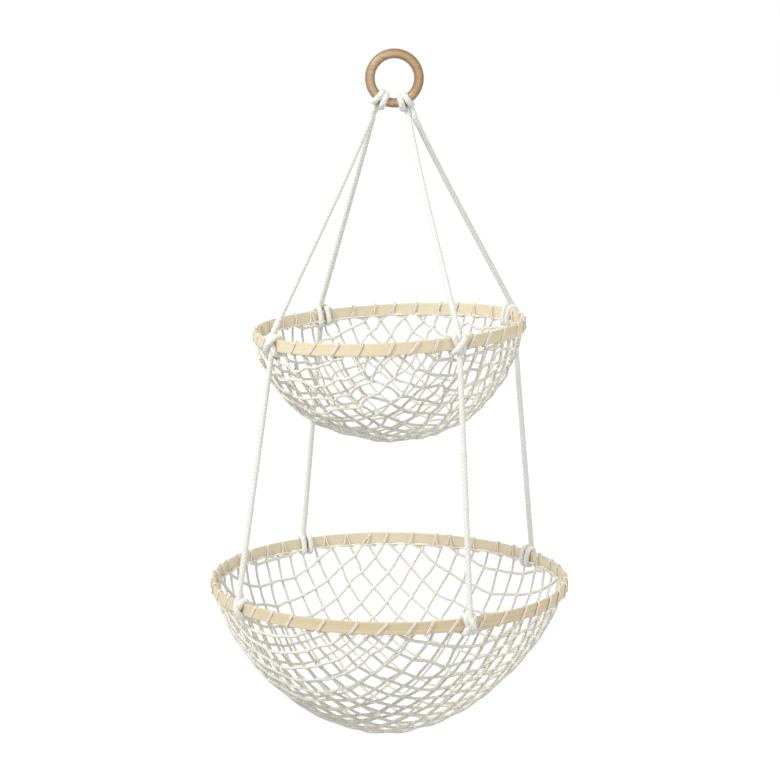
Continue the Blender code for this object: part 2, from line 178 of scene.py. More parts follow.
# Nets
NET_CORD = 0.0026
NET_RADIUS = {"upper": 0.0019, "lower": 0.00205}
NET_STEP = 0.0038
NET_SIDES = 9
NET_GROOVE = 0.07
NET_PITCH = 0.009
# Cords each way from the mesh's middle, how far knots stray off the bowl against along it, and how
# far the cords pass over and under each other
MESH_REACH = 20
OUT_SHARE = 0.35
WEAVE = 0.0005
RIM_RADIUS = 0.0012
RIM_STEPS = 300
RIM_SIDES = 8
# How far the rim cord hangs between the lacing's turns, and how uneven it is
RIM_SAG = 0.0007
RIM_WAVE, RIM_WAVES = 0.0004, 11
# A knot of the net: steps and sides of its loop, half its length and width, height and cord
NET_KNOT_STEPS, NET_KNOT_SIDES = 14, 6
NET_KNOT_LONG, NET_KNOT_WIDE, NET_KNOT_HIGH, NET_KNOT_CORD = 0.0019, 0.0015, 0.0012, 0.0012

# Stage: the floor, and how bright the world is as a light and to the camera
FLOOR_HALF = 60.0
FLOOR_HEIGHT = -2.8
FLOOR_GLOW = 0.6
WORLD_LIGHT = 0.64
WORLD_SEEN = 1.0

QUARTER = math.pi / 2

rng = np.random.default_rng(11)


class Tier:
    """A hoop and its bowl, with the sizes that the solids have."""

    def __init__(self, name, diameter, drop, tilt, depth, shape, shift, bulge, knots):
        self.name = name
        self.radius = (diameter - STRIP_THICKNESS) / 2
        self.to_world = Matrix.Translation((TIER_OFFSET, 0, -drop)) @ Matrix.Rotation(-tilt, 4, "Y")
        self.depth = depth
        self.rim_radius = self.radius - STRIP_THICKNESS / 2 - SEAT_GAP - NET_CORD / 2
        self.rim_height = -RIM_DROP
        self.shift = shift
        self.bulge = bulge
        self.knots = {corner: math.radians(angle) for corner, angle in knots.items()}
        shares = np.linspace(1, 0, PROFILE_STEPS)
        self.radii = self.rim_radius * (1 - shares ** shape[0]) ** shape[1]
        self.heights = self.rim_height - (depth + self.rim_height) * shares
        steps = np.hypot(np.diff(self.radii), np.diff(self.heights))
        self.lengths = np.concatenate(([0.0], np.cumsum(steps)))
        self.rim_length = self.lengths[-1] - NET_SHORTER

    def lift(self, flat, out=0.0):
        """Points on the bowl for flat places, as far from zero as the bowl is long up to them."""
        flat = np.atleast_2d(flat)
        length = np.hypot(flat[:, 0], flat[:, 1])
        azimuth = np.arctan2(flat[:, 1], flat[:, 0])
        radius, height = (np.interp(length, self.lengths, row) for row in (self.radii, self.heights))
        slope_r, slope_h = (
            np.interp(length + SLOPE_REACH, self.lengths, row)
            - np.interp(length - SLOPE_REACH, self.lengths, row) for row in (self.radii, self.heights))
        size = np.maximum(np.hypot(slope_r, slope_h), 1e-9)
        radius = radius + out * slope_h / size
        height = height - out * slope_r / size
        sunk = np.clip((self.rim_height - height) / (self.depth + self.rim_height), 0, 1)
        shift = self.shift * sunk + self.bulge * np.sin(math.pi * sunk)
        return np.stack((radius * np.cos(azimuth) + shift, radius * np.sin(azimuth), height), 1)

    def place(self, azimuth, outward, up):
        """A world point by the strip's middle, at an azimuth."""
        radius = self.radius + outward
        return self.to_world @ Vector((radius * math.cos(azimuth), radius * math.sin(azimuth), up))

    def world(self, points):
        matrix = np.array(self.to_world)
        return np.asarray(points) @ matrix[:3, :3].T + matrix[:3, 3]


# Routes

def smooth(points, step):
    """A smooth curve through points, with places a step apart."""
    points = np.array([tuple(p) for p in points], float)
    before = 2 * points[0] - points[1]
    after = 2 * points[-1] - points[-2]
    padded = np.vstack((before, points, after))
    pieces = []
    for k in range(1, len(padded) - 2):
        p0, p1, p2, p3 = padded[k - 1:k + 3]
        d1 = max(np.linalg.norm(p1 - p0), 1e-6) ** 0.5
        d2 = max(np.linalg.norm(p2 - p1), 1e-6) ** 0.5
        d3 = max(np.linalg.norm(p3 - p2), 1e-6) ** 0.5
        m1 = (p1 - p0) / d1 - (p2 - p0) / (d1 + d2) + (p2 - p1) / d2
        m2 = (p2 - p1) / d2 - (p3 - p1) / (d2 + d3) + (p3 - p2) / d3
        m1, m2 = m1 * d2, m2 * d2
        count = max(4, int(np.linalg.norm(p2 - p1) / step * 2))
        t = np.linspace(0, 1, count, endpoint=False)[:, None]
        pieces.append(
            (2 * t ** 3 - 3 * t ** 2 + 1) * p1 + (t ** 3 - 2 * t ** 2 + t) * m1
            + (3 * t ** 2 - 2 * t ** 3) * p2 + (t ** 3 - t ** 2) * m2)
    pieces.append(points[-1:])
    return respaced(np.vstack(pieces), step)


def respaced(path, step):
    """The same path with places an even step apart."""
    lengths = np.concatenate(([0.0], np.cumsum(np.linalg.norm(np.diff(path, axis=0), axis=1))))
    count = max(2, int(round(lengths[-1] / step)) + 1)
    wanted = np.linspace(0, lengths[-1], count)
    return np.stack([np.interp(wanted, lengths, path[:, k]) for k in range(3)], 1)


def settle(path):
    """A light smoothing that takes the last corners out of a route."""
    for _ in range(SMOOTHING_ROUNDS):
        path[1:-1] += SMOOTHING_SHARE * (path[:-2] + path[2:] - 2 * path[1:-1])
    return path


def straight(start, end, bow=(0, 0, 0)):
    """Places between two points, with a bow that is fullest near the end."""
    start, end = Vector(start), Vector(end)
    count = max(2, int((end - start).length / STRAIGHT_STEP))
    places = []
    for k in range(1, count):
        share = k / count
        places.append(start.lerp(end, share) + Vector(bow) * math.sin(math.pi * share ** BOW_SKEW))
    return places


# Tubes

def corner_places(*pairs):
    """The places of faces' corners, each given as a pair of arrays over rows and columns."""
    return np.stack([np.stack(np.broadcast_arrays(*pair), -1) for pair in pairs], 2).reshape(-1, 2)


class Tubes:
    """Tubes gathered into one mesh, with places along and around them for the materials."""

    def __init__(self):
        self.points, self.faces, self.sides, self.places = [], [], [], []
        self.count = 0

    def frames(self, path):
        """Directions along and across a path, which don't turn about it."""
        tangents = np.gradient(path, axis=0)
        tangents /= np.maximum(np.linalg.norm(tangents, axis=1, keepdims=True), 1e-12)
        first = np.cross(tangents[0], (0.0, 0.0, 1.0))
        if np.linalg.norm(first) < 0.1:
            first = np.cross(tangents[0], (1.0, 0.0, 0.0))
        normals = np.empty_like(path)
        normals[0] = first / np.linalg.norm(first)
        for k in range(1, len(path)):
            v1 = path[k] - path[k - 1]
            c1 = max(v1 @ v1, 1e-18)
            reflected = normals[k - 1] - 2 / c1 * (v1 @ normals[k - 1]) * v1
            turned = tangents[k - 1] - 2 / c1 * (v1 @ tangents[k - 1]) * v1
            v2 = tangents[k] - turned
            c2 = v2 @ v2
            normals[k] = reflected - (2 / c2 * (v2 @ reflected) * v2 if c2 > 1e-16 else 0)
        return tangents, normals, np.cross(tangents, normals)

    def add(self, path, radius, sides, strands=0, groove=0.0, pitch=1.0, start=0.0, closed=False,
            frames=None):
        """One tube along a path, with the grooves of its twisted strands."""
        path = np.asarray(path, float)
        count = len(path)
        radius = np.broadcast_to(radius, count)
        _, normals, binormals = frames or self.frames(path)
        lengths = start + np.concatenate(
            ([0.0], np.cumsum(np.linalg.norm(np.diff(path, axis=0), axis=1))))
        around = np.arange(sides) * math.tau / sides
        shape = np.ones(sides)
        if strands:
            shape = 1 - groove + groove * np.abs(np.cos(strands * around / 2)) ** STRAND_FALL
        turned = around[None, :] + (math.tau * lengths / pitch)[:, None]
        reach = radius[:, None] * shape[None, :]
        rings = (path[:, None] + (reach * np.cos(turned))[..., None] * normals[:, None]
                 + (reach * np.sin(turned))[..., None] * binormals[:, None])
        base = self.count
        self.points.append(rings.reshape(-1, 3))
        self.count += count * sides
        rows = np.arange(count if closed else count - 1)
        after = (rows + 1) % count
        columns = np.arange(sides)
        beside = (columns + 1) % sides
        quads = np.stack(np.broadcast_arrays(
            rows[:, None] * sides + columns, rows[:, None] * sides + beside,
            after[:, None] * sides + beside, after[:, None] * sides + columns), -1)
        self.faces.append((quads.reshape(-1, 4) + base).ravel())
        self.sides.append(np.full(len(rows) * sides, 4))
        next_length = np.where(after == 0, lengths[-1] + (lengths[1] - lengths[0]), lengths[after])
        u0, u1 = columns[None] / sides, (columns[None] + 1) / sides
        v0, v1 = lengths[rows][:, None], next_length[:, None]
        self.places.append(corner_places((u0, v0), (u1, v0), (u1, v1), (u0, v1)))
        if not closed:
            for ring, order in ((0, columns[::-1]), (count - 1, columns)):
                self.faces.append(base + ring * sides + order)
                self.sides.append(np.array([sides]))
                self.places.append(np.stack(
                    (columns / sides, np.full(sides, lengths[ring])), 1))

    def make(self, name, material):
        """All the tubes as one object."""
        mesh = bpy.data.meshes.new(name)
        points = np.concatenate(self.points)
        corners = np.concatenate(self.faces)
        sizes = np.concatenate(self.sides)
        mesh.vertices.add(len(points))
        mesh.vertices.foreach_set("co", points.ravel())
        mesh.loops.add(len(corners))
        mesh.loops.foreach_set("vertex_index", corners)
        mesh.polygons.add(len(sizes))
        mesh.polygons.foreach_set("loop_start", np.concatenate(([0], np.cumsum(sizes)[:-1])))
        # End caps stay flat, so that the sides' shading runs on to the end
        mesh.polygons.foreach_set("use_smooth", sizes == 4)
        layer = mesh.uv_layers.new(name="along")
        layer.uv.foreach_set("vector", np.concatenate(self.places).astype(np.float32).ravel())
        mesh.update(calc_edges=True)
        mesh.validate()
        mesh.materials.append(material)
        piece = bpy.data.objects.new(name, mesh)
        bpy.context.scene.collection.objects.link(piece)
        return piece


# Materials

class Surface:
    """A node material that is put together step by step."""

    def __init__(self, name, roughness, specular, sheen=0.0):
        self.material = bpy.data.materials.new(name)
        self.material.use_nodes = True
        self.tree = self.material.node_tree
        self.shader = self.tree.nodes["Principled BSDF"]
        self.shader.inputs["Roughness"].default_value = roughness
        self.shader.inputs["Specular IOR Level"].default_value = specular
        self.shader.inputs["Sheen Weight"].default_value = sheen

    def add(self, kind, inputs=None, **settings):
        node = self.tree.nodes.new(kind)
        for key, value in settings.items():
            setattr(node, key, value)
        for key, value in (inputs or {}).items():
            if isinstance(value, bpy.types.NodeSocket):
                self.tree.links.new(value, node.inputs[key])
            else:
                node.inputs[key].default_value = value
        return node

    def along(self, scale):
        """Places along a tube or strip, scaled."""
        places = self.add("ShaderNodeUVMap", uv_map="along")
        mapped = self.add("ShaderNodeMapping", {"Vector": places.outputs["UV"], "Scale": scale})
        return mapped.outputs["Vector"]

    def object_places(self, scale, turn=(0, 0, 0)):
        places = self.add("ShaderNodeTexCoord")
        mapped = self.add(
            "ShaderNodeMapping",
            {"Vector": places.outputs["Object"], "Scale": scale, "Rotation": turn})
        return mapped.outputs["Vector"]

    def noise(self, vector, scale=1.0, detail=3.0, roughness=0.55, distortion=0.0):
        node = self.add("ShaderNodeTexNoise", {
            "Vector": vector, "Scale": scale, "Detail": detail, "Roughness": roughness,
            "Distortion": distortion})
        return node.outputs["Fac"]

    def ramp(self, factor, *stops):
        node = self.add("ShaderNodeValToRGB", {"Fac": factor})
        elements = node.color_ramp.elements
        while len(elements) < len(stops):
            elements.new(0.5)
        for element, (position, colour) in zip(elements, stops):
            element.position = position
            element.color = (*colour, 1)
        return node.outputs["Color"]

    def mix(self, factor, first, second, blend="MIX"):
        node = self.add("ShaderNodeMix", {0: factor, 6: first, 7: second}, data_type="RGBA",
                        blend_type=blend)
        return node.outputs[2]

    def math(self, operation, first, second=0.0):
        return self.add("ShaderNodeMath", {0: first, 1: second}, operation=operation).outputs[0]

    def bump(self, height, distance, strength):
        inputs = {"Height": height, "Distance": distance, "Strength": strength}
        return self.add("ShaderNodeBump", inputs).outputs["Normal"]

    def finish(self, colour, normal, roughness=None):
        self.tree.links.new(colour, self.shader.inputs["Base Color"])
        self.tree.links.new(normal, self.shader.inputs["Normal"])
        if roughness:
            self.tree.links.new(roughness, self.shader.inputs["Roughness"])
        return self.material


def grey(value):
    return (value, value, value)


# Cotton: shade of fibres and blotches, yarns across and along a strand, and how high these stand
FIBRE_SHADE, BLOTCH_SHADE, BLOTCH_TONE = 0.2, 0.2, 0.94
YARNS_ACROSS, YARNS_ALONG = 5.0, 3.2
FIBRE_RELIEF, YARN_RELIEF, COTTON_RELIEF = 0.6, 0.22, 0.1
# Bamboo: its tones from fibre to fibre, an older culm, dark fibres, and the cut side
BAMBOO_TONES = ((0.28, (0.73, 0.63, 0.38)), (0.55, (0.83, 0.745, 0.50)), (0.78, (0.88, 0.81, 0.58)))
OLD_CULM, OLD_CULM_SHARE = (0.75, 0.65, 0.40, 1), 0.3
DARK_FIBRE, DARK_FIBRE_SHARE = (0.52, 0.40, 0.23, 1), 0.22
CUT_SIDE, CUT_SIDE_SHARE = (0.95, 0.88, 0.72, 1), 0.35
UPPER_TINT = (0.96, 0.95, 0.98)
LOWER_TINT = (0.885, 0.853, 0.87)
# Beech: its tones from ring to ring, its browner right side, flecks, and painted shade where it is seen
# at a slant
BEECH_TONES = ((0.28, (0.45, 0.295, 0.155)), (0.5, (0.56, 0.385, 0.21)), (0.72, (0.64, 0.455, 0.265)))
BROWN_BEECH, BROWN_SHARE = (0.44, 0.235, 0.075, 1), 0.55
BROWN_PER_METRE, BROWN_UNEVENNESS = 9.0, 0.9
FLECK, FLECK_SHARE = (0.32, 0.18, 0.09, 1), 0.25
PAINTED_SLANT_SHADE = ((0.0, 1.0), (0.05, 0.88), (0.14, 0.72), (0.3, 0.60), (0.6, 0.46))


def cotton(name, pale, deep, strands, pitch, radius):
    """Laid cotton: twisted strands of fine fibres, with painted shade between the strands."""
    surface = Surface(name, roughness=0.9, specular=0.15, sheen=0.25)
    turns = surface.add("ShaderNodeSeparateXYZ", {"Vector": surface.along((1, 1, 1))})
    around, length = turns.outputs["X"], turns.outputs["Y"]
    # The grooves are where the strands' phase is half way; painted shade puts the deep colour there
    phase = surface.math("MULTIPLY", around, float(strands))
    painted_crown_light = surface.math("ABSOLUTE", surface.math("COSINE", surface.math("MULTIPLY", phase, math.pi)))
    fibres = surface.noise(
        surface.along((strands * 9.0, 0.35 / radius, 1)), detail=4.0, roughness=0.7)
    blotch = surface.noise(surface.object_places((1, 1, 1)), scale=55.0)
    # Yarns lean across each strand, against its turn
    lean = surface.math("ADD", surface.math("MULTIPLY", phase, YARNS_ACROSS),
                        surface.math("MULTIPLY", length, YARNS_ALONG / pitch * strands))
    yarns = surface.math("SINE", surface.math("MULTIPLY", lean, math.tau))
    # Painted shade: the deep colour in the grooves between the strands, the pale one on their crowns
    lit = surface.mix(painted_crown_light, (*deep, 1), (*pale, 1))
    lit = surface.mix(surface.math("MULTIPLY", fibres, FIBRE_SHADE), lit, (*deep, 1))
    lit = surface.mix(surface.math("MULTIPLY", blotch, BLOTCH_SHADE), lit,
                      (*[BLOTCH_TONE * c for c in pale], 1))
    height = surface.math("ADD", surface.math("MULTIPLY", fibres, FIBRE_RELIEF),
                          surface.math("MULTIPLY", yarns, YARN_RELIEF))
    return surface.finish(lit, surface.bump(height, radius * COTTON_RELIEF, 0.6))


def bamboo(name, tint):
    """Split bamboo: pale skin with fine fibres along it, each culm of its own tone."""
    surface = Surface(name, roughness=0.42, specular=0.35)
    fine = surface.noise(surface.along((2200, 7, 1)), detail=5.0, roughness=0.65)
    wide = surface.noise(surface.along((380, 2.6, 1)), roughness=0.5, distortion=0.3)
    tone = surface.noise(surface.along((40, 4, 1)))
    base = surface.ramp(wide, *BAMBOO_TONES)
    base = surface.mix(surface.math("MULTIPLY", tone, OLD_CULM_SHARE), base, OLD_CULM)
    streaks = surface.ramp(fine, (0.30, grey(1.0)), (0.42, grey(0.0)))
    base = surface.mix(surface.math("MULTIPLY", streaks, DARK_FIBRE_SHARE), base, DARK_FIBRE)
    base = surface.mix(1.0, base, (*tint, 1), "MULTIPLY")
    # The cut side, which faces in, is paler than the skin
    across = surface.add("ShaderNodeSeparateXYZ", {"Vector": surface.along((1, 1, 1))}).outputs["X"]
    beside = surface.math("ABSOLUTE", surface.math("SUBTRACT", across, CUT_SIDE_MIDDLE))
    inward = surface.math("LESS_THAN", beside, STRIP_HEIGHT / 2)
    base = surface.mix(surface.math("MULTIPLY", inward, CUT_SIDE_SHARE), base, CUT_SIDE)
    rough = surface.ramp(fine, (0.3, grey(0.55)), (0.7, grey(0.36)))
    return surface.finish(base, surface.bump(fine, 0.00012, 0.5), rough)


def beech():
    """Turned beech: straight grain with short darker flecks, and painted shade towards the bar's
    outlines.
    """
    surface = Surface("turned_beech", roughness=0.34, specular=0.55)
    turn = (0, math.radians(24), 0)
    grain = surface.noise(surface.object_places((40, 260, 420), turn), detail=4.0, distortion=0.4)
    flecks = surface.noise(surface.object_places((420, 2600, 2600), turn), detail=2.0, roughness=0.5)
    colour = surface.ramp(grain, *BEECH_TONES)
    # Browner towards the ring's right side, along the object's X, unevenly
    bands = surface.noise(
        surface.object_places((30, 90, 150), turn), detail=2.0, roughness=0.5, distortion=0.3)
    place = surface.add("ShaderNodeSeparateXYZ", {"Vector": surface.object_places((1, 1, 1))})
    browner_rightward = surface.math("ADD", surface.math("MULTIPLY", place.outputs["X"], BROWN_PER_METRE),
                         surface.math("MULTIPLY", bands, BROWN_UNEVENNESS))
    brown = surface.ramp(browner_rightward, (0.3, grey(0.0)), (0.75, grey(1.0)))
    colour = surface.mix(surface.math("MULTIPLY", brown, BROWN_SHARE), colour, BROWN_BEECH)
    dark = surface.ramp(flecks, (0.32, grey(1.0)), (0.40, grey(0.0)))
    colour = surface.mix(surface.math("MULTIPLY", dark, FLECK_SHARE), colour, FLECK)
    # Painted shade: the bar is darkened where it is seen at a slant, so that it looks round
    slant = surface.add("ShaderNodeLayerWeight", {"Blend": 0.5}).outputs["Facing"]
    edge = surface.ramp(slant, *[(position, grey(shade)) for position, shade in PAINTED_SLANT_SHADE])
    colour = surface.mix(1.0, colour, edge, "MULTIPLY")
    return surface.finish(colour, surface.bump(grain, 0.0001, 0.3))


# The ring

def add_ring():
    middle = (RING_DIAMETER - RING_BAR) / 2
    around = np.arange(RING_STEPS) * math.tau / RING_STEPS
    flat = np.zeros(RING_STEPS)
    out = np.stack((np.sin(around), flat, -np.cos(around)), 1)
    path = np.array(RING_CENTRE) + middle * out
    tangents = np.stack((np.cos(around), flat, np.sin(around)), 1)
    binormals = np.cross(tangents, out)
    tubes = Tubes()
    tubes.add(path, RING_BAR / 2, BAR_SIDES, closed=True, frames=(tangents, out, binormals))
    ring = tubes.make("beech_ring", beech())
    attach(ring, "ring")
    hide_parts("wooden_ring")


# Ropes

class HoopKnot:
    """A clove hitch round the strip, along the same route as its solid."""

    def __init__(self, tier, corner):
        self.tier = tier
        self.azimuth = tier.knots[corner]
        self.edge = STRIP_HEIGHT / 2 + SEAT_GAP + KNOT_ROPE / 2
        self.outside = STRIP_THICKNESS / 2 + SEAT_GAP + KNOT_ROPE / 2
        # Drawn tight: on the strip at the top, and over the net's rim cord at the bottom
        self.high_inside = STRIP_THICKNESS / 2 + KNOT_RADIUS + SEAT_GAP
        self.low_inside = self.high_inside + OVER_RIM_CORD

    def at(self, lanes, outward, up):
        return self.tier.place(self.azimuth - lanes * LANE / self.tier.radius, outward, up)

    def lower_base(self):
        return self.at(0, self.outside, KNOT_SHOULDER - self.edge)

    def upper_base(self):
        outward = self.outside if self.tier.name == "upper" else LOWER_ARRIVAL
        return self.at(0, outward, self.edge - KNOT_SHOULDER)

    def round_edge(self, lanes, sign):
        half_bend = KNOT_ROPE / 2 + SEAT_GAP
        outward = STRIP_THICKNESS / 2 + half_bend * math.sqrt(0.5)
        up = STRIP_HEIGHT / 2 + half_bend * math.sqrt(0.5)
        return [self.at(lanes, self.outside, sign * STRIP_HEIGHT / 2),
                self.at(lanes, outward, sign * up),
                self.at(lanes, STRIP_THICKNESS / 2, sign * self.edge)]

    def down_the_inside(self, lanes):
        inward, up = UPPER_ROUNDING
        return [self.at(lanes, -self.high_inside * inward, self.edge * up),
                self.at(lanes, -self.high_inside, STRIP_HEIGHT / 2 - STRAIGHT_FROM_TOP),
                self.at(lanes, -self.low_inside, -STRIP_HEIGHT / 2 + STRAIGHT_TO_BOTTOM),
                self.at(lanes, -self.low_inside * LOWER_ROUNDING, -self.edge)]

    def crossing(self, band):
        raised = CROSSING_LAYERS[self.tier.name] * LANE
        below = [(lanes, layers, -up) for lanes, layers, up in CROSSING]
        above = [(-lanes, layers, up) for lanes, layers, up in CROSSING[::-1]]
        return [self.at(lanes * band, self.outside + layers * raised, up * STRIP_HEIGHT)
                for lanes, layers, up in below + above]

    def tucked_end(self):
        return self.round_edge(0, -1)[::-1]

    def route(self):
        band = BANDS[self.tier.name]
        return [*self.round_edge(band, 1), *self.down_the_inside(band),
                *self.round_edge(band, -1)[:0:-1], *self.crossing(band),
                *self.round_edge(-band, 1)[1:], *self.down_the_inside(-band),
                *self.round_edge(-band, -1)[::-1], *self.standing_part(band), self.upper_base()]

    def standing_part(self, band):
        if self.tier.name == "upper":
            return []
        return [self.at(-lanes * band, self.outside + layers * LANE, up * STRIP_HEIGHT)
                for lanes, layers, up in STANDING]


def swing_point(corner):
    middle, apart, behind = RIGHT_LEGS if corner.endswith("right") else LEFT_LEGS
    hand = 1 if corner in ("back_left", "back_right") else -1
    depth = behind / 2 if corner.startswith("back") else -behind / 2
    return Vector((middle + hand * apart / 2, depth, SWING_HEIGHT))


def on_ring(angle, around, reach):
    radius = (RING_DIAMETER - RING_BAR) / 2 + reach * math.cos(around)
    return Vector((radius * math.sin(angle), reach * math.sin(around),
                   RING_CENTRE.z - radius * math.cos(angle)))


def ring_knot_half(knot_angle, hand):
    inner_layer = RING_BAR / 2 + RING_SEAT
    route = []
    for degrees, lanes, layers in RING_TURNS:
        around = math.radians(degrees)
        reach = inner_layer + layers * LANE
        radius = (RING_DIAMETER - RING_BAR) / 2 + reach * math.cos(around)
        route.append(on_ring(knot_angle + hand * lanes * LANE / radius, around, reach))
    return route


def rope_run(upper_knot, lower_knot, corner):
    """One tail's points by stretch, each from the bottom up, and the ends of its lower cord."""
    line = (lower_knot.upper_base() - upper_knot.lower_base()).normalized()
    top_pivot = upper_knot.lower_base() + line * KNOT_STUB
    bottom_pivot = lower_knot.upper_base() - line * KNOT_STUB
    upper_line = (upper_knot.upper_base() - swing_point(corner)).normalized()
    stub = upper_knot.upper_base() - upper_line * KNOT_STUB
    return {"lower": [*lower_knot.tucked_end(), *lower_knot.route()], "bottom": bottom_pivot,
            "top": top_pivot, "upper": [upper_knot.lower_base(), *upper_knot.route()], "stub": stub}


def rope_radius(path, knots, ring_knot):
    """The rope is drawn tighter in its hoop knots, and pressed wide where it lies on the ring."""
    radius = np.full(len(path), ROPE_RADIUS)
    for middle in knots:
        near = np.linalg.norm(path - np.array(middle), axis=1)
        share = np.clip((near - HOOP_KNOT_REACH) / HOOP_KNOT_FADE, 0, 1)
        share = share * share * (3 - 2 * share)
        radius = np.minimum(radius, KNOT_RADIUS + (ROPE_RADIUS - KNOT_RADIUS) * share)
    near = np.linalg.norm(path - np.array(ring_knot), axis=1)
    share = np.clip((near - RING_KNOT_REACH) / RING_KNOT_FADE, 0, 1)
    return np.maximum(radius, RING_KNOT_RADIUS + (ROPE_RADIUS - RING_KNOT_RADIUS) * share)


def nearest(path, point, start, end):
    near = np.linalg.norm(path[start:end] - np.array(point), axis=1)
    return start + int(near.argmin())


def add_rope(side, corners, knot_angle, tiers, material):
    """A whole rope as one route from tail to tail, cut into the pieces that move apart."""
    upper, lower = tiers
    runs, knots = [], []
    for corner in corners:
        upper_knot, lower_knot = HoopKnot(upper, corner), HoopKnot(lower, corner)
        runs.append(rope_run(upper_knot, lower_knot, corner))
        knots += [knot.at(0, 0, 0) for knot in (upper_knot, lower_knot)]
    halves = []
    outward = math.copysign(1, knot_angle)
    for corner, run, hand in zip(corners, runs, (outward, -outward)):
        bend = swing_point(corner)
        bow = (BOWS[corner], 0, 0)
        # Up the tail: lower knot, cord, upper knot, cord, leg and half of the ring's knot
        points = [*run["lower"], run["bottom"], *straight(run["bottom"], run["top"]),
                  run["top"], *run["upper"], run["stub"], *straight(run["stub"], bend, bow=bow), bend,
                  bend + Vector((0, 0, RING_LEG_STUB)), *ring_knot_half(knot_angle, hand)]
        halves.append(points)
    path = settle(smooth(halves[0] + halves[1][::-1], ROPE_STEP))
    radius = rope_radius(path, knots, on_ring(knot_angle, 0, 0.0))
    frames = Tubes().frames(path)
    lengths = np.concatenate(([0.0], np.cumsum(np.linalg.norm(np.diff(path, axis=0), axis=1))))
    half = len(path) // 2
    marks = []
    for run, (start, end) in zip(runs, ((0, half), (half, len(path)))):
        marks.append((nearest(path, run["bottom"], start, end), nearest(path, run["top"], start, end)))

    def cut(name, first, last, swell=None):
        piece = Tubes()
        spread = radius[first:last] if swell is None else radius[first:last] * swell
        piece.add(path[first:last], spread, ROPE_SIDES, ROPE_STRANDS, ROPE_GROOVE, ROPE_PITCH,
                  lengths[first], frames=tuple(f[first:last] for f in frames))
        return piece.make(name, material)

    # Neighbouring pieces share a few rings, so that nothing gapes between them
    main = cut(f"{side}_rope", marks[0][1] - 2, marks[1][1] + 3)
    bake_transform(main)
    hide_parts(f"{side}_ring_knot", *[f"upper_cord_{c}" for c in corners],
                *[f"upper_knot_{c}" for c in corners])
    for corner, run, (low, top) in zip(corners, runs, marks):
        rising = corner == corners[0]
        first, last = (low - 2, top + 1) if rising else (top - 1, low + 3)
        swell = np.ones(last - first)
        swell[:TUCKED_RINGS] = swell[-TUCKED_RINGS:] = TUCKED
        cord = cut(f"tail_cord_{corner}", first, last, swell)
        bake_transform(cord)
        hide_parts(f"lower_cord_{corner}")
        first, last = (0, low + 1) if rising else (low - 1, len(path))
        knot = cut(f"tail_knot_{corner}", first, last)
        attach(knot, "lower_tier")
        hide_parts(f"lower_knot_{corner}")


# Hoops, lacings and nets

def strip_outline():
    """The strip's section: outward and up, with rounded corners and rows along the tall sides."""
    half_thickness, half_height = STRIP_THICKNESS / 2, STRIP_HEIGHT / 2
    right, left = half_thickness - STRIP_ROUNDING, STRIP_ROUNDING - half_thickness
    top, bottom = half_height - STRIP_ROUNDING, STRIP_ROUNDING - half_height
    outline = []
    for quarter, (x, y) in enumerate(((right, top), (left, top), (left, bottom), (right, bottom))):
        for k in range(CORNER_STEPS + 1):
            angle = (quarter + k / CORNER_STEPS) * QUARTER
            outline.append((x + STRIP_ROUNDING * math.cos(angle), y + STRIP_ROUNDING * math.sin(angle)))
        if quarter in (0, 2):
            continue
        x, first = outline[-1]
        for k in range(1, FACE_ROWS):
            outline.append((x, first + (-first - first) * k / FACE_ROWS))
    return np.array(outline)


def waves(azimuth, numbers, heights):
    phases = rng.uniform(0, math.tau, len(numbers))
    return sum(a * np.sin(n * azimuth + p) for n, a, p in zip(numbers, heights, phases))


def add_hoop(tier, material):
    """The strip: a rounded section turned about the tier, never quite true."""
    outline = strip_outline()
    azimuth = np.arange(STRIP_STEPS) * math.tau / STRIP_STEPS
    sway = waves(azimuth, *OUT_WAVES)
    lift = waves(azimuth, *UP_WAVES)
    radius = tier.radius + sway[:, None] + outline[None, :, 0]
    height = lift[:, None] + outline[None, :, 1]
    cosines, sines = np.cos(azimuth)[:, None], np.sin(azimuth)[:, None]
    points = np.stack((radius * cosines, radius * sines, height), -1)
    sides = len(outline)
    edge = np.linalg.norm(np.diff(np.vstack((outline, outline[:1])), axis=0), axis=1)
    across = np.concatenate(([0.0], np.cumsum(edge)))
    tubes = Tubes()
    tubes.points.append(tier.world(points.reshape(-1, 3)))
    rows, columns = np.arange(STRIP_STEPS), np.arange(sides)
    after, beside = (rows + 1) % STRIP_STEPS, (columns + 1) % sides
    quads = np.stack(np.broadcast_arrays(
        rows[:, None] * sides + columns, after[:, None] * sides + columns,
        after[:, None] * sides + beside, rows[:, None] * sides + beside), -1)
    tubes.faces.append(quads.reshape(-1, 4).ravel())
    tubes.sides.append(np.full(STRIP_STEPS * sides, 4))
    arc = tier.radius * math.tau / STRIP_STEPS
    u0, u1 = across[None, :-1], across[None, 1:]
    v0, v1 = rows[:, None] * arc, (rows[:, None] + 1) * arc
    tubes.places.append(corner_places((u0, v0), (u0, v1), (u1, v1), (u1, v0)))
    hoop = tubes.make(f"{tier.name}_bamboo", material)
    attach(hoop, f"{tier.name}_tier")
    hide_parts(f"{tier.name}_hoop")


def lacing_azimuths(tier):
    """Where the thread crosses the strip's outside: the seen ones, and an even spacing elsewhere."""
    seen = sorted(math.radians(a) % math.tau for a in STROKES[tier.name])
    spacing = math.tau / LACING_TURNS[tier.name]
    chosen = []
    for here, after in zip(seen, seen[1:] + [seen[0] + math.tau]):
        chosen.append(here)
        count = max(1, round((after - here) / spacing))
        if after - here > WIDE_GAP * spacing:
            for k in range(1, count):
                uneven = rng.normal(0, UNEVENNESS) * spacing
                chosen.append(here + (after - here) * k / count + uneven)
    clear = KNOT_CLEARANCE * LANE / tier.radius
    kept = []
    for azimuth in chosen:
        apart = [abs((azimuth - k + math.pi) % math.tau - math.pi) for k in tier.knots.values()]
        if min(apart) > clear:
            kept.append(azimuth % math.tau)
    return sorted(kept)


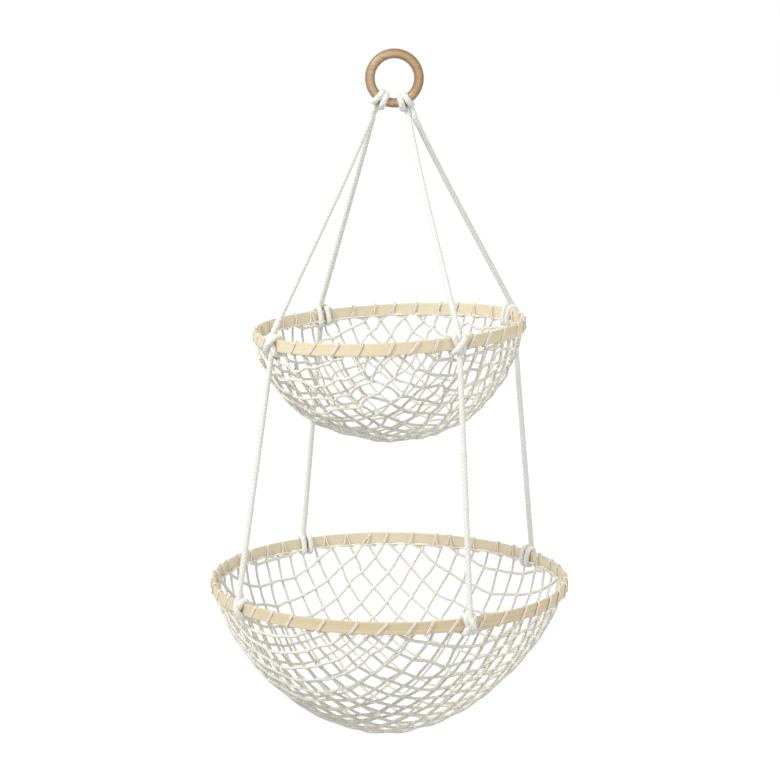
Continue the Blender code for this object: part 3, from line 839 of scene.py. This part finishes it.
def add_lacing(tier, material):
    """Thread wound round the strip and the net's rim, leaning up to the right outside."""
    top, edge = STRIP_HEIGHT / 2, STRIP_HEIGHT / 2 + THREAD / 2
    out = STRIP_THICKNESS / 2 + THREAD / 2
    rim = STRIP_THICKNESS / 2 + SEAT_GAP + NET_CORD / 2
    deep = rim + NET_CORD / 2 + THREAD / 2
    low, high = (math.radians(angle) for angle in LEANING[tier.name])
    azimuths = lacing_azimuths(tier)
    route = []
    for here, after in zip(azimuths, azimuths[1:] + [azimuths[0] + math.tau]):
        slant = math.tan(math.radians(SLANT + rng.normal(0, SLANT_SPREAD))) * top / tier.radius
        beside = THREAD * TURN_SPACING / tier.radius
        spread = (LEG_SPREAD + rng.normal(0, LEG_SPREAD_SPREAD)) / tier.radius
        apex, following = here + slant, after + slant
        # Two turns at each place, whose legs inside the strip meet at one apex, or lean side by side
        second = LEANING_LEG if low < following % math.tau < high else SECOND_LEG
        for turn, foot in ((-0.5, apex + FIRST_LEG * spread), (0.5, following + second * spread)):
            aside = turn * beside
            peak = apex if turn < 0 else following
            bottom = here - slant + aside
            # Over the strip's upper edge, down its outside and under it
            for azimuth, outward, up in (
                    (apex + aside, -out, top - ROUNDS_INSIDE), (apex + aside, 0.0, edge + OVER_EDGE),
                    (apex + aside * 1.1, out, top - ROUNDS_OUTSIDE), (here + aside, out, 0),
                    (bottom, out, -top + ROUNDS_OUTSIDE), (bottom, 0.0, -edge - UNDER_EDGE),
                    (bottom, -rim, -edge - UNDER_RIM)):
                route.append(tier.place(azimuth, outward, up))
            # Along the rim cord to the foot of the next leg
            for share in FOOT_SHARES:
                route.append(tier.place(bottom + (foot - bottom) * share, -deep, FOOT_HEIGHT))
            route.append(tier.place((foot + peak) / 2, -(out + deep) / 2, LEG_HEIGHT))
    tubes = Tubes()
    tubes.add(smooth(route, THREAD_STEP), THREAD / 2, THREAD_SIDES, 2, THREAD_GROOVE, THREAD_PITCH)
    lacing = tubes.make(f"{tier.name}_thread", material)
    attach(lacing, f"{tier.name}_tier")
    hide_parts(f"{tier.name}_lacing")


class Mesh:
    """The square mesh of a net, laid flat so that lengths from the bowl's bottom are kept."""

    def __init__(self, tier, start, u, v, jitter, slack, twist, gather):
        self.tier = tier
        self.slack = slack
        start, u, v = np.array(start), np.array(u), np.array(v)
        grid = np.arange(-MESH_REACH, MESH_REACH + 1)
        size = len(grid)
        i, j = np.meshgrid(grid, grid, indexing="ij")
        middle = np.linalg.solve(np.stack((u, v), 1), -start).round()
        i, j = i + middle[0], j + middle[1]
        self.places = start + i[..., None] * u + j[..., None] * v
        # More of the net is gathered into the front, so its cells hang flatter there
        front = np.clip(-self.places[..., 1] / tier.rim_length, 0, 1)
        self.places[..., 1] *= 1 - gather * front ** 2 * (3 - 2 * front)
        # The front of the net hangs turned a little about the bowl, and the back doesn't
        length, azimuth = np.hypot(*self.places.T).T, np.arctan2(*self.places.T[::-1]).T
        azimuth = azimuth + twist * (1 - np.sin(azimuth)) / 2
        self.places = length[..., None] * np.stack((np.cos(azimuth), np.sin(azimuth)), -1)
        self.places = self.places + rng.normal(0, jitter, (size, size, 2))
        self.out = rng.normal(0, jitter * OUT_SHARE, (size, size))

    def inside(self, k, l):
        return np.hypot(*self.places[k, l]) < self.tier.rim_length

    def lines(self):
        """Each cord as flat places, cut at the rim."""
        size = len(self.places)
        for family in (0, 1):
            for k in range(size):
                row = self.places[k] if family == 0 else self.places[:, k]
                out = self.out[k] if family == 0 else self.out[:, k]
                length = np.hypot(row[:, 0], row[:, 1])
                within = np.flatnonzero(length < self.tier.rim_length)
                if len(within) < 1:
                    continue
                first, last = within[0] - 1, within[-1] + 1
                picked = row[first:last + 1].copy()
                raised = out[first:last + 1].copy()
                for end, inner in ((0, 1), (-1, -2)):
                    a, b = picked[inner], picked[end]
                    la, lb = np.hypot(*a), np.hypot(*b)
                    share = (self.tier.rim_length - la) / max(lb - la, 1e-9)
                    picked[end] = a + (b - a) * min(1.0, share)
                    raised[end] = 0
                yield family, *self.slackened(picked, raised)

    def slackened(self, places, raised):
        """Adds a place half way along each side of a cell, a little off the straight line."""
        halves = (places[:-1] + places[1:]) / 2 + rng.normal(0, self.slack, (len(places) - 1, 2))
        halves[[0, -1]] = (places[[0, -2]] + places[[1, -1]]) / 2
        between = (raised[:-1] + raised[1:]) / 2
        full = np.empty((2 * len(places) - 1, 2))
        full[::2], full[1::2] = places, halves
        heights = np.empty(2 * len(places) - 1)
        heights[::2], heights[1::2] = raised, between
        return full, heights


def rim_route(tier):
    """The rim cord, which sags a little between the lacing's turns."""
    azimuth = np.arange(RIM_STEPS) * math.tau / RIM_STEPS
    turns = LACING_TURNS[tier.name]
    sag = RIM_SAG * (1 - np.cos(turns * azimuth)) + RIM_WAVE * np.sin(RIM_WAVES * azimuth + 1)
    flat = (tier.rim_length - sag)[:, None] * np.stack((np.cos(azimuth), np.sin(azimuth)), 1)
    return tier.world(tier.lift(flat, 0.0))


def net_knot(tier, mesh, k, l):
    """One knot's loop, between its four neighbours."""
    t = np.arange(NET_KNOT_STEPS) * math.tau / NET_KNOT_STEPS
    around = mesh.places[[k, k - 1, k + 1, k, k], [l, l, l, l - 1, l + 1]]
    points = tier.lift(around, mesh.out[k, l])
    along_u = points[2] - points[1]
    along_v = points[4] - points[3]
    normal = np.cross(along_u, along_v)
    normal /= np.linalg.norm(normal)
    a = along_u / np.linalg.norm(along_u) + along_v / np.linalg.norm(along_v)
    a /= np.linalg.norm(a)
    b = np.cross(normal, a)
    loop = (points[0] + NET_KNOT_LONG * np.cos(t)[:, None] * a + NET_KNOT_WIDE * np.sin(t)[:, None] * b
            + NET_KNOT_HIGH * np.sin(2 * t)[:, None] * normal)
    return tier.world(loop)


def add_net(tier, mesh, material):
    families = {0: Tubes(), 1: Tubes()}
    for family, flat, raised in mesh.lines():
        path = smooth(np.c_[flat, raised], NET_STEP)
        weave = WEAVE if family else -WEAVE
        route = tier.lift(path[:, :2], path[:, 2] + weave)
        families[family].add(
            tier.world(route), NET_RADIUS[tier.name], NET_SIDES, 2, NET_GROOVE, NET_PITCH)
    families[0].add(rim_route(tier), RIM_RADIUS, RIM_SIDES, closed=True)
    for family, tubes in families.items():
        net = tubes.make(f"{tier.name}_mesh_{'ab'[family]}", material)
        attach(net, f"{tier.name}_tier")
        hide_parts(f"{tier.name}_net")
    knots = Tubes()
    inner = range(1, len(mesh.places) - 1)
    for k in inner:
        for l in inner:
            if mesh.inside(k, l):
                knots.add(net_knot(tier, mesh, k, l), NET_KNOT_CORD, NET_KNOT_SIDES, closed=True)
    tied = knots.make(f"{tier.name}_mesh_knots", material)
    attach(tied, f"{tier.name}_tier")
    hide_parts(f"{tier.name}_net")


# Stage

def add_stage():
    """A plain pale floor, white to the camera, that keeps the object's shadow."""
    half, height = FLOOR_HALF, FLOOR_HEIGHT
    mesh = bpy.data.meshes.new("floor")
    mesh.from_pydata([(-half, -half, height), (half, -half, height), (half, half, height),
                      (-half, half, height)], [], [(0, 1, 2, 3)])
    floor = bpy.data.objects.new("floor", mesh)
    bpy.context.scene.collection.objects.link(floor)
    surface = Surface("pale_floor", roughness=0.9, specular=0.0)
    surface.shader.inputs["Base Color"].default_value = (0.85, 0.85, 0.85, 1)
    path = surface.add("ShaderNodeLightPath")
    seen = surface.math("MAXIMUM", path.outputs["Is Camera Ray"], path.outputs["Is Glossy Ray"])
    surface.shader.inputs["Emission Color"].default_value = (1, 1, 1, 1)
    surface.tree.links.new(surface.math("MULTIPLY", seen, FLOOR_GLOW),
                           surface.shader.inputs["Emission Strength"])
    mesh.materials.append(surface.material)

    world = bpy.data.worlds.new("studio")
    bpy.context.scene.world = world
    world.use_nodes = True
    tree = world.node_tree
    light = tree.nodes["Background"]
    path = tree.nodes.new("ShaderNodeLightPath")
    strength = tree.nodes.new("ShaderNodeMapRange")
    seen = tree.nodes.new("ShaderNodeMath")
    seen.operation = "MAXIMUM"
    tree.links.new(path.outputs["Is Camera Ray"], seen.inputs[0])
    tree.links.new(path.outputs["Is Glossy Ray"], seen.inputs[1])
    tree.links.new(seen.outputs[0], strength.inputs["Value"])
    strength.inputs["To Min"].default_value = WORLD_LIGHT
    strength.inputs["To Max"].default_value = WORLD_SEEN
    light.inputs["Color"].default_value = (1, 1, 1, 1)
    tree.links.new(strength.outputs[0], light.inputs["Strength"])


def add_lamp(name, place, target, size, power):
    data = bpy.data.lights.new(name, "AREA")
    data.shape = "DISK"
    data.size = size
    data.energy = power
    lamp = bpy.data.objects.new(name, data)
    lamp.location = place
    lamp.rotation_euler = (Vector(target) - Vector(place)).to_track_quat("-Z", "Y").to_euler()
    bpy.context.scene.collection.objects.link(lamp)


def add_camera():
    data = bpy.data.cameras.new("camera")
    data.sensor_fit = "HORIZONTAL"
    data.sensor_width = SENSOR
    data.lens = SENSOR * FOCAL_SHARE
    data.shift_x = SHIFT
    camera = bpy.data.objects.new("camera", data)
    camera.location = CAMERA_PLACE
    camera.rotation_euler = (QUARTER - CAMERA_DOWN, 0, 0)
    bpy.context.scene.collection.objects.link(camera)
    bpy.context.scene.camera = camera


def main():
    upper = Tier(
        "upper", diameter=0.300, drop=0.296, tilt=math.radians(2.8), depth=0.1226, shape=(1.8, 0.466),
        shift=0.004, bulge=-0.0044,
        knots={"front_left": 213.9, "back_left": 121.8, "front_right": 298.8, "back_right": 22.8})
    lower = Tier(
        "lower", diameter=0.400, drop=0.5836, tilt=0.0, depth=0.1713, shape=(1.37, 0.52),
        shift=-0.0053, bulge=-0.0013,
        knots={"front_left": 216.8, "back_left": 120.7, "front_right": 294.7, "back_right": 34.4})
    add_camera()
    add_ring()
    rope = cotton("cotton_rope", pale=(0.935, 0.935, 0.885), deep=(0.80, 0.79, 0.72),
                  strands=ROPE_STRANDS, pitch=ROPE_PITCH, radius=ROPE_RADIUS)
    net = cotton("cotton_net", pale=(0.96, 0.93, 0.835), deep=(0.885, 0.85, 0.74),
                 strands=2, pitch=0.008, radius=NET_CORD / 2)
    thread = cotton("lacing_thread", pale=(0.97, 0.91, 0.80), deep=(0.86, 0.78, 0.65),
                    strands=2, pitch=THREAD_PITCH, radius=THREAD / 2)
    add_rope("left", ("front_left", "back_left"), LEFT_KNOT_ANGLE, (upper, lower), rope)
    add_rope("right", ("back_right", "front_right"), RIGHT_KNOT_ANGLE, (upper, lower), rope)
    add_hoop(upper, bamboo("upper_strip", UPPER_TINT))
    add_hoop(lower, bamboo("lower_strip", LOWER_TINT))
    add_lacing(upper, thread)
    add_lacing(lower, thread)
    lower_mesh = Mesh(
        lower, start=(-0.03879, 0.23430), u=(0.01951, -0.01803), v=(0.01791, 0.01996), jitter=0.0013,
        slack=0.0005, twist=math.radians(-11), gather=0.28)
    add_net(lower, lower_mesh, net)
    upper_mesh = Mesh(
        upper, start=(-0.0062, 0.0326), u=(0.0147, -0.0157), v=(0.0168, 0.0136), jitter=0.0026,
        slack=0.0013, twist=0.0, gather=0.12)
    add_net(upper, upper_mesh, net)
    add_stage()
    add_lamp("key", place=(-2.4, -2.0, 2.2), target=(0, 0, -0.35), size=1.5, power=101)
    add_lamp("fill", place=(2.6, -1.6, 0.6), target=(0, 0, -0.4), size=2.2, power=20)
    bpy.context.scene.view_settings.view_transform = "Standard"


main()
bpy.context.view_layer.update()
